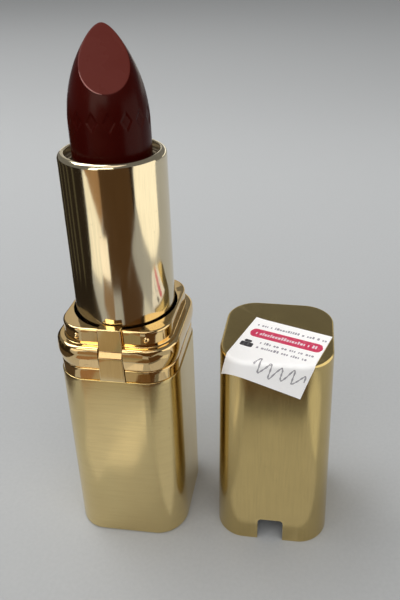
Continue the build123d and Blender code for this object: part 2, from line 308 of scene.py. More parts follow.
def make_collar():
    """Bore, register, ledge, bulged band and lower band, in one closed profile."""
    crown = (REGISTER_HALF - REGISTER_ROUND, COLLAR_TOP - REGISTER_ROUND)
    profile = arc_points(crown, REGISTER_ROUND, 90, 0, 6)
    profile += [(REGISTER_HALF, COLLAR_TOP - 0.8), (REGISTER_HALF, LEDGE + 0.5)]
    profile += arc_points((REGISTER_HALF + LEDGE_FILLET, LEDGE + LEDGE_FILLET), LEDGE_FILLET, 180, 270, 4)
    profile += [(REGISTER_HALF + 0.3, LEDGE), (BAND_BROW_HALF - 0.55, LEDGE)]
    brow = (BAND_BROW_HALF - BAND_BROW_ROUND, LEDGE - BAND_BROW_ROUND)
    profile += arc_points(brow, BAND_BROW_ROUND, 90, 8, 9)
    brow_z = LEDGE - 0.54
    foot_z = LOW_BAND_TOP + 0.22
    belly_steps = 14
    for step in range(1, belly_steps):
        t = step / belly_steps
        reach = BAND_BROW_HALF + (BAND_FOOT_HALF - BAND_BROW_HALF) * t ** 1.6
        reach += BAND_RISE * math.sin(math.pi * t ** 0.9)
        profile.append((reach, brow_z + (foot_z - brow_z) * t))
    profile += [(BAND_FOOT_HALF, foot_z), (BAND_FOOT_HALF - 0.06, foot_z - 0.1)]
    profile += [(BAND_FOOT_HALF - 0.2, LOW_BAND_TOP + 0.01)]
    low_brow = (LOW_BAND_HALF - LOW_BAND_ROUND, LOW_BAND_TOP - LOW_BAND_ROUND)
    profile += arc_points(low_brow, LOW_BAND_ROUND, 90, 0, 5)
    profile += [(LOW_BAND_HALF, LOW_BAND_TOP - 0.6), (LOW_BAND_HALF, SHELL_TOP + 0.4)]
    profile += [(LOW_BAND_HALF, SHELL_TOP + 0.12), (LOW_BAND_HALF - 0.08, SHELL_TOP + 0.03)]
    profile += [(LOW_BAND_HALF - 0.5, SHELL_TOP + COLLAR_FOOT)]
    rings = []
    for half, z in profile:
        if half <= REGISTER_HALF + 1e-6:
            corner = REGISTER_CORNER - (REGISTER_HALF - half)
        else:
            share = min(1.0, (half - REGISTER_HALF) / (LOW_BAND_HALF - REGISTER_HALF))
            corner = REGISTER_CORNER + (CASE_CORNER - 0.2 - REGISTER_CORNER) * share
        rings.append(collar_ring(half, corner, z))
    bore_heights = (SHELL_TOP + COLLAR_FOOT, LEDGE, COLLAR_TOP - 0.05)
    bore = [circle_ring_like(rings[0], COLLAR_BORE, z) for z in bore_heights]
    bore.append(circle_ring_like(rings[0], COLLAR_BORE + 0.02, COLLAR_TOP))
    bm = bmesh.new()
    skin(bm, bore + rings, closed=True)
    for side_x in (-1, 1):
        for side_y in (-1, 1):
            place = Matrix.Translation((side_x * BUMP_SPREAD, side_y * BUMP_SEAT, BUMP_HEIGHT))
            bmesh.ops.create_icosphere(bm, subdivisions=3, radius=BUMP_RADIUS, matrix=place)
    return make_object("collar_plated", bm, "base", "collar", sharp=40.0)


def make_clasp():
    """The bar over the collar's front, from its side profile, with eased edges."""
    profile = [(-HOOK_REACH, COLLAR_TOP + 0.02), (-HOOK_REACH, clasp_high.z)]
    profile += [(-CLASP_FACE, clasp_high.z), (-CLASP_FACE - 0.02, KNEE_HEIGHT + KNEE_RUN)]
    knee_steps = 8
    for step in range(1, knee_steps + 1):
        t = step / knee_steps
        ease = t * t * (3 - 2 * t)
        reach = CLASP_FACE + 0.02 + (KNEE_REACH - CLASP_FACE - 0.02) * ease
        profile.append((-reach, KNEE_HEIGHT + KNEE_RUN - KNEE_RUN * t))
    profile += [(-KNEE_REACH, KNEE_HEIGHT - 0.6), (-KNEE_REACH + 0.08, clasp_low.z)]
    profile += [(-CLASP_SEAT - 0.01, clasp_low.z), (-CLASP_SEAT - 0.01, COLLAR_TOP + 0.02)]
    bm = bmesh.new()
    left = [bm.verts.new((-clasp_half(z), y, z)) for y, z in profile]
    right = [bm.verts.new((clasp_half(z), y, z)) for y, z in profile]
    band(bm, left, right)
    bm.faces.new(left)
    bm.faces.new(right)
    bmesh.ops.recalc_face_normals(bm, faces=bm.faces)
    corners = [e for e in bm.edges if e.calc_face_angle(0) > math.radians(50)]
    bmesh.ops.bevel(bm, geom=corners, offset=CLASP_EDGE_ROUND, segments=3, profile=0.6, affect="EDGES")
    return make_object("collar_clasp_plated", bm, "base", "collar_clasp", sharp=60.0)


def make_sleeve():
    """The round tube with its rolled lip."""
    opening = SLEEVE_RADIUS - SLEEVE_LIP_ROUND
    inner = SLEEVE_RADIUS - METAL_WALL
    shoulder = sleeve_high.z - SLEEVE_LIP_ROUND
    profile = [(inner, sleeve_low.z), (SLEEVE_RADIUS, sleeve_low.z)]
    profile += [(SLEEVE_RADIUS, z) for z in (sleeve_low.z + 1, 30.0, 50.0, shoulder - 1.0)]
    profile += arc_points((opening, shoulder), SLEEVE_LIP_ROUND, 0, 90, 14)
    mouth = (opening, sleeve_high.z - SLEEVE_MOUTH_ROUND)
    profile += arc_points(mouth, SLEEVE_MOUTH_ROUND, 90, 270, 6)[1:]
    profile += arc_points((opening, shoulder + 0.02), inner - opening, 90, 0, 6)[1:]
    bm = bmesh.new()
    skin(bm, [round_ring(radius, z) for radius, z in profile], closed=True)
    return make_object("sleeve_metal", bm, "swivel", "sleeve", sharp=50.0)


def nose_point(angle, z, sunk=0.0):
    """A point on the bullet's side: a circle at each height, drawn in and leaning back."""
    share = max(0.0, min(1.0, (z - NOSE_START) / (NOSE_TIP - NOSE_START)))
    radius = BULLET_RADIUS * (1 - share ** NOSE_POWER) ** NOSE_ROOT - sunk
    lean = NOSE_LEAN * share ** 3
    return Vector((
        radius * math.cos(angle) - lean * math.sin(FACE_TURN),
        radius * math.sin(angle) + lean * math.cos(FACE_TURN),
        z,
    ))


def lozenge_depth(angle, z):
    """How far the ring of small pressed-in lozenges sinks the surface, in millimetres."""
    from_middle = (angle + LOZENGE_PITCH / 2) % LOZENGE_PITCH - LOZENGE_PITCH / 2
    along = from_middle * BULLET_RADIUS / LOZENGE_HALF_WIDTH
    up = (z - LOZENGE_CENTRE) / LOZENGE_HALF_HEIGHT
    inside = 1.0 - (abs(along) + abs(up))
    return LOZENGE_DEPTH * max(0.0, min(1.0, inside / LOZENGE_SLOPE))


def make_cut_lip(edge):
    """A fine bead of wax pushed up along part of the cut's edge, tapering at both ends, coloured pale as a
    painted glint on that edge.
    """
    rings = []
    last = len(edge) - 1
    for i, point in enumerate(edge):
        along = (edge[min(i + 1, last)] - edge[max(i - 1, 0)]).normalized()
        outward = Vector((point.x, point.y, 0)).normalized()
        outward = (outward - along * outward.dot(along)).normalized()
        across = along.cross(outward)
        radius = CUT_LIP_END_RADIUS + CUT_LIP_SWELL * math.sin(math.pi * i / last) ** 0.7
        turns = [2 * math.pi * step / CUT_LIP_SIDES for step in range(CUT_LIP_SIDES)]
        rings.append([point + (outward * math.cos(t) + across * math.sin(t)) * radius for t in turns])
    bm = bmesh.new()
    rows = skin(bm, rings)
    for row in (rows[0], rows[-1]):
        bm.faces.new(row)
    lip = make_object("bullet_cut_lip", bm, "carrier")
    # The bead's colour, far paler than the wax, is a painted glint along the cut's edge.
    set_material(lip, plastic_material("cut_lip_painted_glint", (0.34, 0.13, 0.11), 0.25))


def make_bullet():
    """The wax: sides that draw in, cut by one slanted face with a softened edge."""
    normal = Vector((
        math.cos(FACE_TILT) * math.sin(FACE_TURN),
        -math.cos(FACE_TILT) * math.cos(FACE_TURN),
        math.sin(FACE_TILT),
    ))
    through = Vector((0, 0, FACE_AXIS_HEIGHT))
    rim = []
    for column in range(BULLET_COLUMNS):
        angle = 2 * math.pi * column / BULLET_COLUMNS
        low, high = NOSE_START, NOSE_TIP
        for _ in range(40):
            middle = (low + high) / 2
            if (nose_point(angle, middle) - through).dot(normal) < 0:
                low = middle
            else:
                high = middle
        rim.append(low)

    def side_point(column, z):
        angle = 2 * math.pi * column / BULLET_COLUMNS
        return nose_point(angle, z, lozenge_depth(angle, z))

    covered = (bullet_low.z, 60.0, COVERED_TOP)
    rings = [[side_point(c, z) for c in range(BULLET_COLUMNS)] for z in covered]
    for row in range(1, BULLET_ROWS + 1):
        t = row / BULLET_ROWS
        ring = []
        for column in range(BULLET_COLUMNS):
            top = rim[column] - FACE_EDGE_ROUND
            ring.append(side_point(column, COVERED_TOP + (top - COVERED_TOP) * t))
        rings.append(ring)
    edge = [side_point(c, rim[c]) for c in range(BULLET_COLUMNS)]
    make_cut_lip([edge[c] for c in CUT_LIP_COLUMNS])
    side_top = rings[-1]
    middle = sum(edge, Vector()) / BULLET_COLUMNS
    middle -= normal * (middle - through).dot(normal)
    inner = []
    for point in edge:
        inner.append(point + (middle - point).normalized() * FACE_EDGE_ROUND * 1.2)
    for step in range(1, 5):
        t = step / 4
        ring = []
        for low, corner, high in zip(side_top, edge, inner):
            ring.append(low * (1 - t) ** 2 + corner * 2 * t * (1 - t) + high * t * t)
        rings.append(ring)
    for share in (0.92, 0.7, 0.45, 0.2):
        rings.append([middle + (point - middle) * share for point in inner])
    bm = bmesh.new()
    rows = skin(bm, rings)
    cap_off(bm, rows[0], bullet_low.z)
    fan(bm, rows[-1], middle)
    return make_object("bullet_wax", bm, "carrier", "bullet", sharp=75.0)


def apply_cut(piece, cutter):
    """Cuts one mesh out of another and removes the cutter."""
    cut = piece.modifiers.new("cut", "BOOLEAN")
    cut.operation = "DIFFERENCE"
    cut.solver = "EXACT"
    cut.object = cutter
    mesh = solid_result(piece)
    piece.modifiers.remove(cut)
    piece.data = mesh
    bpy.data.objects.remove(cutter)


def cap_half(z):
    """Half the cap's width at a height."""
    return CASE_HALF + (CAP_TOP_HALF - CASE_HALF) * z / CAP_HEIGHT


def make_notch_cutter():
    """A bar with the notch's outline, through the cap's front wall only."""
    bm = bmesh.new()
    outline = [(NOTCH_WIDTH / 2, -2.0), (NOTCH_WIDTH / 2, NOTCH_HEIGHT - NOTCH_ROUND)]
    round_centre = (NOTCH_WIDTH / 2 - NOTCH_ROUND, NOTCH_HEIGHT - NOTCH_ROUND)
    outline += arc_points(round_centre, NOTCH_ROUND, 0, 90, 6)[1:]
    outline += [(-x, z) for x, z in reversed(outline)]
    near = [bm.verts.new((CAP_X + x, cap_low.y - 2, z)) for x, z in outline]
    far = [bm.verts.new((CAP_X + x, CAP_Y - 6, z)) for x, z in outline]
    bm.faces.new(near)
    bm.faces.new(far)
    band(bm, near, far)
    bmesh.ops.recalc_face_normals(bm, faces=bm.faces)
    return plain_object("notch_cutter", bm)


def make_cap_shell():
    """The cap: tapering sides, an eased top edge, a thin wall, and the notch for the clasp."""
    centre = (CAP_X, CAP_Y)
    top = CAP_HEIGHT
    outside = [(cap_half(z), z) for z in (CAP_FOOT_EASE, 0.6, 5.0, 12.0, 24.0, 33.0, top - 1.2)]
    outside.insert(0, (CASE_HALF - CAP_FOOT_EASE, 0.0))
    edge_half = cap_half(top - CAP_TOP_ROUND)
    outside += arc_points((edge_half - CAP_TOP_ROUND, top - CAP_TOP_ROUND), CAP_TOP_ROUND, 0, 90, 8)
    outside += [(edge_half - CAP_TOP_ROUND - 0.3, top), (CAP_TOP_INNER_HALF, top)]
    inside = [(cap_half(z) - METAL_WALL, z) for z in (top - METAL_WALL - 0.05, 33.0, 12.0, 5.0, 0.3)]
    inside.insert(0, (CAP_TOP_INNER_HALF, top - METAL_WALL))
    inside.append((CASE_HALF - METAL_WALL + 0.05, 0.0))

    def ring(half, z):
        corner = max(0.6, CASE_CORNER - max(0.0, cap_half(min(z, top)) - half))
        return square_ring(half, min(corner, half - 0.1), z, centre)

    outer_rings = [ring(half, z) for half, z in outside]
    inner_rings = [ring(half, z) for half, z in inside]
    bm = bmesh.new()
    outer_rows = skin(bm, outer_rings)
    inner_rows = skin(bm, inner_rings)
    cap_off(bm, outer_rows[-1], top)
    cap_off(bm, inner_rows[0], top - METAL_WALL)
    low_outer, low_inner = outer_rows[0], inner_rows[-1]
    count = len(low_outer)
    for i in range(count):
        j = (i + 1) % count
        bm.faces.new((low_outer[i], low_inner[i], low_inner[j], low_outer[j]))
    bmesh.ops.recalc_face_normals(bm, faces=bm.faces)
    blank = plain_object("cap_blank", bm)
    apply_cut(blank, make_notch_cutter())
    cut_bm = bmesh.new()
    cut_bm.from_mesh(blank.data)
    bpy.data.objects.remove(blank)
    return make_object("cap_shell_metal", cut_bm, "cap", "cap_shell", sharp=40.0)


# ======================================================================
# The price sticker: paper, print and pen marks, all bent by one rule
# ======================================================================
FOLD_GAP = 0.04
PAPER_STEPS = 54
INK = PAPER + 0.012
OVERPRINT = INK + 0.014
INK_THICKNESS = 0.02
OVERPRINT_THICKNESS = 0.03
SMALL_PRINT = 0.62
BAR_PRINT = 0.8
PEN_WIDTH = 0.28
PRINT_SEED = 7


def cap_edge(x):
    """How far the cap's top outline reaches towards the front, at a distance from its middle."""
    flat = CAP_TOP_HALF - CASE_CORNER
    beyond = max(0.0, abs(x) - flat)
    return flat + math.sqrt(max(0.0, CASE_CORNER ** 2 - beyond ** 2))


def on_cap(u, v, raised):
    """A point of the flat sticker, laid on the cap and folded down its front edge."""
    x = STICKER_CENTRE[0] + u * math.cos(STICKER_TURN) - v * math.sin(STICKER_TURN)
    y = STICKER_CENTRE[1] + u * math.sin(STICKER_TURN) + v * math.cos(STICKER_TURN)
    fold = cap_edge(x) - CAP_TOP_ROUND
    bend = CAP_TOP_ROUND + FOLD_GAP + raised
    past = -y - fold
    top = CAP_HEIGHT - CAP_TOP_ROUND
    if past <= 0:
        curl = 0.10 * max(0.0, (-u - 4.5) / 2.2) ** 2
        return Vector((CAP_X + x, CAP_Y + y, top + bend + curl))
    angle = min(past / (CAP_TOP_ROUND + FOLD_GAP), math.pi / 2)
    down = max(0.0, past - (CAP_TOP_ROUND + FOLD_GAP) * math.pi / 2)
    stand = 0.05 * down + 0.006 * down ** 2
    return Vector((
        CAP_X + x,
        CAP_Y - fold - bend * math.sin(angle) - stand,
        top + bend * math.cos(angle) - down,
    ))


def sticker_patch(bm, u0, u1, v0, v1, raised, steps_u, steps_v):
    """A grid of the sticker's surface between two corners."""
    grid = []
    for i in range(steps_u + 1):
        u = u0 + (u1 - u0) * i / steps_u
        column = []
        for j in range(steps_v + 1):
            v = v0 + (v1 - v0) * j / steps_v
            column.append(bm.verts.new(on_cap(u, v, raised)))
        grid.append(column)
    for i in range(steps_u):
        for j in range(steps_v):
            bm.faces.new((grid[i][j], grid[i + 1][j], grid[i + 1][j + 1], grid[i][j + 1]))


def sheet_piece(name, bm, thickness, node=None):
    """Gives an open sheet some thickness below its upper side and makes it a piece of the cap."""
    bmesh.ops.recalc_face_normals(bm, faces=bm.faces)
    upward = sum(face.normal.z - face.normal.y for face in bm.faces)
    if upward < 0:
        bmesh.ops.reverse_faces(bm, faces=bm.faces)
    sheet = plain_object("sheet", bm)
    thick = sheet.modifiers.new("thick", "SOLIDIFY")
    thick.thickness = thickness
    thick.offset = -1
    solid = bmesh.new()
    solid.from_mesh(solid_result(sheet))
    bpy.data.objects.remove(sheet)
    return make_object(name, solid, "cap", node, sharp=60.0)


def make_sticker():
    """The sheet of paper itself."""
    bm = bmesh.new()
    half_u, half_v = STICKER_WIDTH / 2, STICKER_LENGTH / 2
    sticker_patch(bm, -half_u, half_u, -half_v, half_v, PAPER, PAPER_STEPS, PAPER_STEPS)
    return sheet_piece("price_sticker_paper", bm, PAPER, "price_sticker")


def rounded_patch(bm, u0, u1, v0, v1, corner, skew=0.0, steps=40):
    """A printed patch with rounded ends, its right end raised by skew."""
    middle = (v0 + v1) / 2
    rows = []
    for i in range(steps + 1):
        u = u0 + (u1 - u0) * i / steps
        near_end = min(u - u0, u1 - u)
        pinch = max(0.0, corner - near_end)
        half = (v1 - v0) / 2 - corner + math.sqrt(max(0.0, corner ** 2 - pinch ** 2))
        lift = skew * (u - u0) / (u1 - u0)
        across = [middle + lift + half * t for t in (-1, -0.5, 0, 0.5, 1)]
        rows.append([bm.verts.new(on_cap(u, v, INK)) for v in across])
    for left, right in zip(rows, rows[1:]):
        for j in range(4):
            bm.faces.new((left[j], right[j], right[j + 1], left[j + 1]))


def print_row(bm, dice, u0, u1, v, height, skew, raised=INK):
    """A row of short marks of different lengths, standing in for small print."""
    u = u0
    while u < u1:
        length = dice.uniform(0.18, 0.42)
        lift = skew * (u - u0) / (u1 - u0)
        tall = height * dice.choice((0.7, 0.7, 1.0))
        sticker_patch(bm, u, u + length, v + lift, v + lift + tall, raised, 2, 2)
        u += length + dice.choice((0.14, 0.14, 0.16, 0.5))


def pen_stroke(bm, points, width):
    """A ribbon of ink through points of the sticker, smoothed between them."""
    path = []
    count = len(points)
    for i in range(count - 1):
        near_by = [max(0, min(count - 1, k)) for k in (i - 1, i, i + 1, i + 2)]
        before, start, end, after = (Vector(points[k]) for k in near_by)
        for step in range(8):
            t = step / 8
            square = 2 * before - 5 * start + 4 * end - after
            cube = 3 * start - before - 3 * end + after
            path.append(0.5 * (2 * start + (end - before) * t + square * t ** 2 + cube * t ** 3))
    path.append(Vector(points[-1]))
    sides = []
    for i, point in enumerate(path):
        ahead = (path[min(i + 1, len(path) - 1)] - path[max(i - 1, 0)]).normalized()
        across = Vector((-ahead.y, ahead.x)) * width / 2 * (0.75 + 0.25 * math.sin(i * 0.9))
        sides.append([bm.verts.new(on_cap(p.x, p.y, INK)) for p in (point - across, point + across)])
    for (a, b), (c, d) in zip(sides, sides[1:]):
        bm.faces.new((a, c, d, b))


def make_print():
    """The red bar with pale marks on it, the black block, rows of small print, and a wavy pen line."""
    dice = random.Random(PRINT_SEED)
    red = bmesh.new()
    rounded_patch(red, -5.9, 6.45, 2.0, 4.3, 0.9, 0.15)
    black = bmesh.new()
    rounded_patch(black, -6.1, -4.0, -1.0, 0.15, 0.15, 0.0, 10)
    rounded_patch(black, -5.8, -4.5, 0.2, 0.85, 0.3, 0.0, 10)
    grey = bmesh.new()
    print_row(grey, dice, -5.6, 6.1, 5.2, SMALL_PRINT, 0.2)
    print_row(grey, dice, -3.2, 5.9, 0.55, SMALL_PRINT, 0.15)
    print_row(grey, dice, -3.3, 5.1, -0.75, SMALL_PRINT, 0.1)
    white = bmesh.new()
    print_row(white, dice, -4.9, 5.3, 2.8, BAR_PRINT, 0.15, OVERPRINT)
    pen = bmesh.new()
    scrawl = []
    for step in range(28):
        t = math.pi / 3 * step
        swing = 1.2 + 0.35 * math.sin(0.7 * t)
        scrawl.append((-2.0 + 0.29 * t + 0.25 * math.sin(t), -4.4 + swing * math.sin(t)))
    pen_stroke(pen, scrawl, PEN_WIDTH)
    return [
        (sheet_piece("sticker_print_red", red, INK_THICKNESS), "red"),
        (sheet_piece("sticker_print_black", black, INK_THICKNESS), "black"),
        (sheet_piece("sticker_print_white", white, OVERPRINT_THICKNESS), "white"),
        (sheet_piece("sticker_print_grey", grey, INK_THICKNESS), "grey"),
        (sheet_piece("sticker_pen_marks", pen, INK_THICKNESS), "pen"),
    ]


# ======================================================================
# Materials
# ======================================================================
def new_material(name):
    """An empty node material with its Principled shader."""
    material = bpy.data.materials.new(name)
    material.use_nodes = True
    nodes = material.node_tree.nodes
    nodes.clear()
    output = nodes.new("ShaderNodeOutputMaterial")
    shader = nodes.new("ShaderNodeBsdfPrincipled")
    material.node_tree.links.new(shader.outputs["BSDF"], output.inputs["Surface"])
    return material, shader


class Graph:
    """Short names for adding and joining a material's nodes."""

    def __init__(self, material):
        self.tree = material.node_tree
        self.coords = self.tree.nodes.new("ShaderNodeTexCoord").outputs["Object"]

    def link(self, source, target):
        self.tree.links.new(source, target)

    def mapped(self, scale):
        """Object coordinates, scaled per axis so that 1 unit is 1 mm at scale 1."""
        node = self.tree.nodes.new("ShaderNodeMapping")
        node.inputs["Scale"].default_value = tuple(value / MM for value in scale)
        self.link(self.coords, node.inputs["Vector"])
        return node.outputs["Vector"]

    def noise(self, scale, detail=3.0, roughness=0.5, distortion=0.0):
        """Noise whose features are about 1/scale millimetres across."""
        node = self.tree.nodes.new("ShaderNodeTexNoise")
        node.inputs["Scale"].default_value = 1.0
        node.inputs["Detail"].default_value = detail
        node.inputs["Roughness"].default_value = roughness
        node.inputs["Distortion"].default_value = distortion
        self.link(self.mapped(scale), node.inputs["Vector"])
        return node.outputs["Fac"]

    def spread(self, source, low, high, from_low=0.3, from_high=0.7):
        """Maps a value from one range to another."""
        node = self.tree.nodes.new("ShaderNodeMapRange")
        node.inputs["From Min"].default_value = from_low
        node.inputs["From Max"].default_value = from_high
        node.inputs["To Min"].default_value = low
        node.inputs["To Max"].default_value = high
        self.link(source, node.inputs["Value"])
        return node.outputs["Result"]

    def blend(self, factor, first, second):
        """Mixes two colours, each a tuple or a socket, by a factor socket."""
        node = self.tree.nodes.new("ShaderNodeMix")
        node.data_type = "RGBA"
        self.link(factor, node.inputs["Factor"])
        for value, key in ((first, "A"), (second, "B")):
            socket = [s for s in node.inputs if s.name == key and s.type == "RGBA"][0]
            if isinstance(value, tuple):
                socket.default_value = value + (1.0,)
            else:
                self.link(value, socket)
        return [s for s in node.outputs if s.type == "RGBA"][0]

    def bump(self, height, distance, normal=None):
        """A bump of so many millimetres."""
        node = self.tree.nodes.new("ShaderNodeBump")
        node.inputs["Strength"].default_value = 1.0
        node.inputs["Distance"].default_value = distance * MM
        self.link(height, node.inputs["Height"])
        if normal:
            self.link(normal, node.inputs["Normal"])
        return node.outputs["Normal"]

    def pointiness(self):
        """High on outside edges, low in inside corners."""
        return self.tree.nodes.new("ShaderNodeNewGeometry").outputs["Pointiness"]


def gold_material(name, colour, deep, rough, brush, wave, edge_wear, streaks=(5.0, 5.0, 0.15)):
    """Metal, gold-toned but for the slug: fine brushing, smudges, scratches and paler worn edges."""
    material, shader = new_material(name)
    graph = Graph(material)
    shader.inputs["Metallic"].default_value = 1.0
    smudge = graph.noise((0.10, 0.10, 0.07), detail=4.0, distortion=0.4)
    fine = graph.noise(streaks, detail=3.0, roughness=0.6)
    tint = graph.blend(graph.spread(smudge, 0.0, 1.0), colour, deep)
    dark = tuple(value * 0.86 for value in deep)
    tint = graph.blend(graph.spread(fine, 0.0, 0.5, 0.4, 0.75), tint, dark)
    scratch = graph.noise((0.9, 0.9, 2.6), detail=1.0, distortion=1.5)
    scored = tuple(value * 0.55 for value in deep)
    tint = graph.blend(graph.spread(scratch, 0.0, 0.6, 0.755, 0.79), tint, scored)
    worn = graph.spread(graph.pointiness(), 0.0, edge_wear, 0.52, 0.60)
    pale = tuple(min(1.0, value * 1.12 + 0.04) for value in colour)
    graph.link(graph.blend(worn, tint, pale), shader.inputs["Base Color"])
    rough_noise = graph.noise((0.35, 0.35, 0.12), detail=5.0, roughness=0.6)
    graph.link(graph.spread(rough_noise, rough * 0.8, rough * 1.25), shader.inputs["Roughness"])
    ripple = graph.noise((0.12, 0.12, 0.05), detail=1.0)
    first = graph.bump(ripple, wave)
    graph.link(graph.bump(fine, brush, first), shader.inputs["Normal"])
    return material


def ink_material(name, colour):
    """Printed or penned ink, a little uneven where the paper's grain shows through."""
    material, shader = new_material(name)
    graph = Graph(material)
    grain = graph.noise((4.0, 4.0, 4.0), detail=3.0)
    paler = tuple(value * 0.7 + 0.24 for value in colour)
    shown = graph.spread(grain, 0.0, 0.7, 0.5, 0.8)
    graph.link(graph.blend(shown, colour, paler), shader.inputs["Base Color"])
    graph.link(graph.spread(grain, 0.4, 0.6), shader.inputs["Roughness"])
    graph.link(graph.bump(grain, 0.006), shader.inputs["Normal"])
    return material


def wax_material():
    """Dark red-brown wax. Surfaces facing up, the cut above all, are paler: partly the cut's hazier wax,
    partly painted sheen.
    """
    material, shader = new_material("wax_dark_red")
    graph = Graph(material)
    cloud = graph.noise((0.25, 0.25, 0.18), detail=3.0)
    side = graph.blend(graph.spread(cloud, 0.0, 1.0), (0.038, 0.0014, 0.0004), (0.044, 0.0020, 0.0006))
    # The cut colour is partly hazier wax and partly painted sheen, standing in for the light that the upward
    # cut catches.
    cut = graph.blend(graph.spread(cloud, 0.0, 1.0), (0.108, 0.0190, 0.0135), (0.114, 0.0205, 0.0145))
    split = graph.tree.nodes.new("ShaderNodeSeparateXYZ")
    graph.link(graph.tree.nodes.new("ShaderNodeTexCoord").outputs["Normal"], split.inputs["Vector"])
    # Painted sheen mask: the more a surface faces up, the more it takes the paler cut colour.
    upward = graph.spread(split.outputs["Z"], 0.0, 1.0, 0.52, 0.70)
    graph.link(graph.blend(upward, side, cut), shader.inputs["Base Color"])
    graph.link(graph.spread(cloud, 0.24, 0.32), shader.inputs["Roughness"])
    shader.inputs["Specular IOR Level"].default_value = 0.085
    swell = graph.noise((0.3, 0.3, 0.3), detail=1.0)
    graph.link(graph.bump(swell, 0.03), shader.inputs["Normal"])
    return material


def paper_material():
    """Slightly warm coated paper with fibres and handling marks, and a faint painted glow that brightens it.
    """
    material, shader = new_material("sticker_paper_coated")
    graph = Graph(material)
    cloud = graph.noise((0.4, 0.4, 0.4), detail=5.0)
    colour = graph.blend(graph.spread(cloud, 0.0, 1.0), (0.97, 0.955, 0.94), (0.93, 0.915, 0.90))
    graph.link(colour, shader.inputs["Base Color"])
    graph.link(graph.spread(cloud, 0.42, 0.6), shader.inputs["Roughness"])
    # Painted glow: the paper gives off a little light of its own, so it looks brighter than its lighting
    # makes it.
    shader.inputs["Emission Color"].default_value = (1.0, 0.985, 0.97, 1.0)
    shader.inputs["Emission Strength"].default_value = 0.07
    fibre = graph.bump(graph.noise((6.0, 6.0, 6.0), detail=4.0), 0.012)
    graph.link(fibre, shader.inputs["Normal"])
    return material


def plastic_material(name, colour, rough):
    """Moulded plastic with a fine texture."""
    material, shader = new_material(name)
    graph = Graph(material)
    cloud = graph.noise((0.3, 0.3, 0.3), detail=3.0)
    paler = tuple(min(1.0, value * 1.3 + 0.01) for value in colour)
    graph.link(graph.blend(graph.spread(cloud, 0.0, 0.6), colour, paler), shader.inputs["Base Color"])
    graph.link(graph.spread(cloud, rough * 0.85, rough * 1.2), shader.inputs["Roughness"])
    graph.link(graph.bump(graph.noise((5.0, 5.0, 5.0)), 0.01), shader.inputs["Normal"])
    return material


def set_material(piece, material):
    """Gives a piece one material in all its slots."""
    piece.data.materials.clear()
    piece.data.materials.append(material)


def floor_material():
    """Plain pale grey tabletop with a faint grain."""
    material, shader = new_material("pale_table")
    graph = Graph(material)
    grain = graph.noise((1.5, 1.5, 1.5), detail=4.0)
    pale = graph.blend(graph.spread(grain, 0.0, 1.0), (0.435, 0.443, 0.445), (0.455, 0.463, 0.465))
    graph.link(pale, shader.inputs["Base Color"])
    shader.inputs["Roughness"].default_value = 0.9
    shader.inputs["Specular IOR Level"].default_value = 0.0
    graph.link(graph.bump(grain, 0.02), shader.inputs["Normal"])
    return material


def card_material(name, colour):
    """An even, softly glowing studio card."""
    material = bpy.data.materials.new(name)
    material.use_nodes = True
    nodes = material.node_tree.nodes
    nodes.clear()
    output = nodes.new("ShaderNodeOutputMaterial")
    glow = nodes.new("ShaderNodeEmission")
    glow.inputs["Color"].default_value = colour + (1.0,)
    material.node_tree.links.new(glow.outputs["Emission"], output.inputs["Surface"])
    return material


# ======================================================================
# Camera, floor and light
# ======================================================================
SENSOR = 36.0
PICTURE_HEIGHT = 600.0
FOCAL_LENGTH_IN_PIXELS = 607.1
CAMERA_PLACE = (28.98, -83.01, 93.74)
CAMERA_TURN, CAMERA_TILT, CAMERA_ROLL = -0.1147, 0.4409, 0.0023
CAMERA_SHIFT = (-0.0736, -0.1003)
FLOOR_HALF_METRES = 1.5
SUN_SPREAD = math.radians(70)
CARD_CURVE_STEP = 6
FLOOR_CARD_HEIGHT = 0.6


def make_camera():
    """The camera, where the photograph's view puts it."""
    data = bpy.data.cameras.new("camera")
    data.sensor_fit = "AUTO"
    data.sensor_width = SENSOR
    data.lens = SENSOR * FOCAL_LENGTH_IN_PIXELS / PICTURE_HEIGHT
    data.shift_x, data.shift_y = CAMERA_SHIFT
    data.clip_start = 0.005
    data.clip_end = 20.0
    camera = bpy.data.objects.new("camera", data)
    bpy.context.scene.collection.objects.link(camera)
    place = Vector(CAMERA_PLACE) * MM
    turn, tilt, roll = CAMERA_TURN, CAMERA_TILT, CAMERA_ROLL
    ahead = Vector((math.sin(turn) * math.cos(tilt), math.cos(turn) * math.cos(tilt), -math.sin(tilt)))
    right = Vector((math.cos(turn), -math.sin(turn), 0.0))
    up = right.cross(ahead)
    right, up = right * math.cos(roll) + up * math.sin(roll), up * math.cos(roll) - right * math.sin(roll)
    basis = Matrix((right, up, -ahead)).transposed()
    camera.matrix_world = Matrix.Translation(place) @ basis.to_4x4()
    bpy.context.scene.camera = camera


def make_floor():
    """A wide flat table."""
    bm = bmesh.new()
    bmesh.ops.create_grid(bm, x_segments=8, y_segments=8, size=FLOOR_HALF_METRES)
    floor = plain_object("table", bm)
    set_material(floor, floor_material())


def aimed(light, target):
    """Turns a light towards a point given in millimetres."""
    direction = Vector(target) * MM - light.location
    light.rotation_euler = direction.to_track_quat("-Z", "Y").to_euler()


def soft_sun(name, direction, strength):
    """Broad even light that casts very soft shadows and shows in no reflection."""
    data = bpy.data.lights.new(name, "SUN")
    data.energy = strength
    data.angle = SUN_SPREAD
    light = bpy.data.objects.new(name, data)
    bpy.context.scene.collection.objects.link(light)
    light.rotation_euler = Vector(direction).to_track_quat("-Z", "Y").to_euler()
    light.visible_glossy = False


def soft_light(name, place, target, size, power, glossy=True):
    """A rectangular area light aimed at a point, places in millimetres."""
    data = bpy.data.lights.new(name, "AREA")
    data.shape = "RECTANGLE"
    data.size, data.size_y = size[0] * MM, size[1] * MM
    data.energy = power
    light = bpy.data.objects.new(name, data)
    bpy.context.scene.collection.objects.link(light)
    light.location = Vector(place) * MM
    light.visible_glossy = glossy
    aimed(light, target)


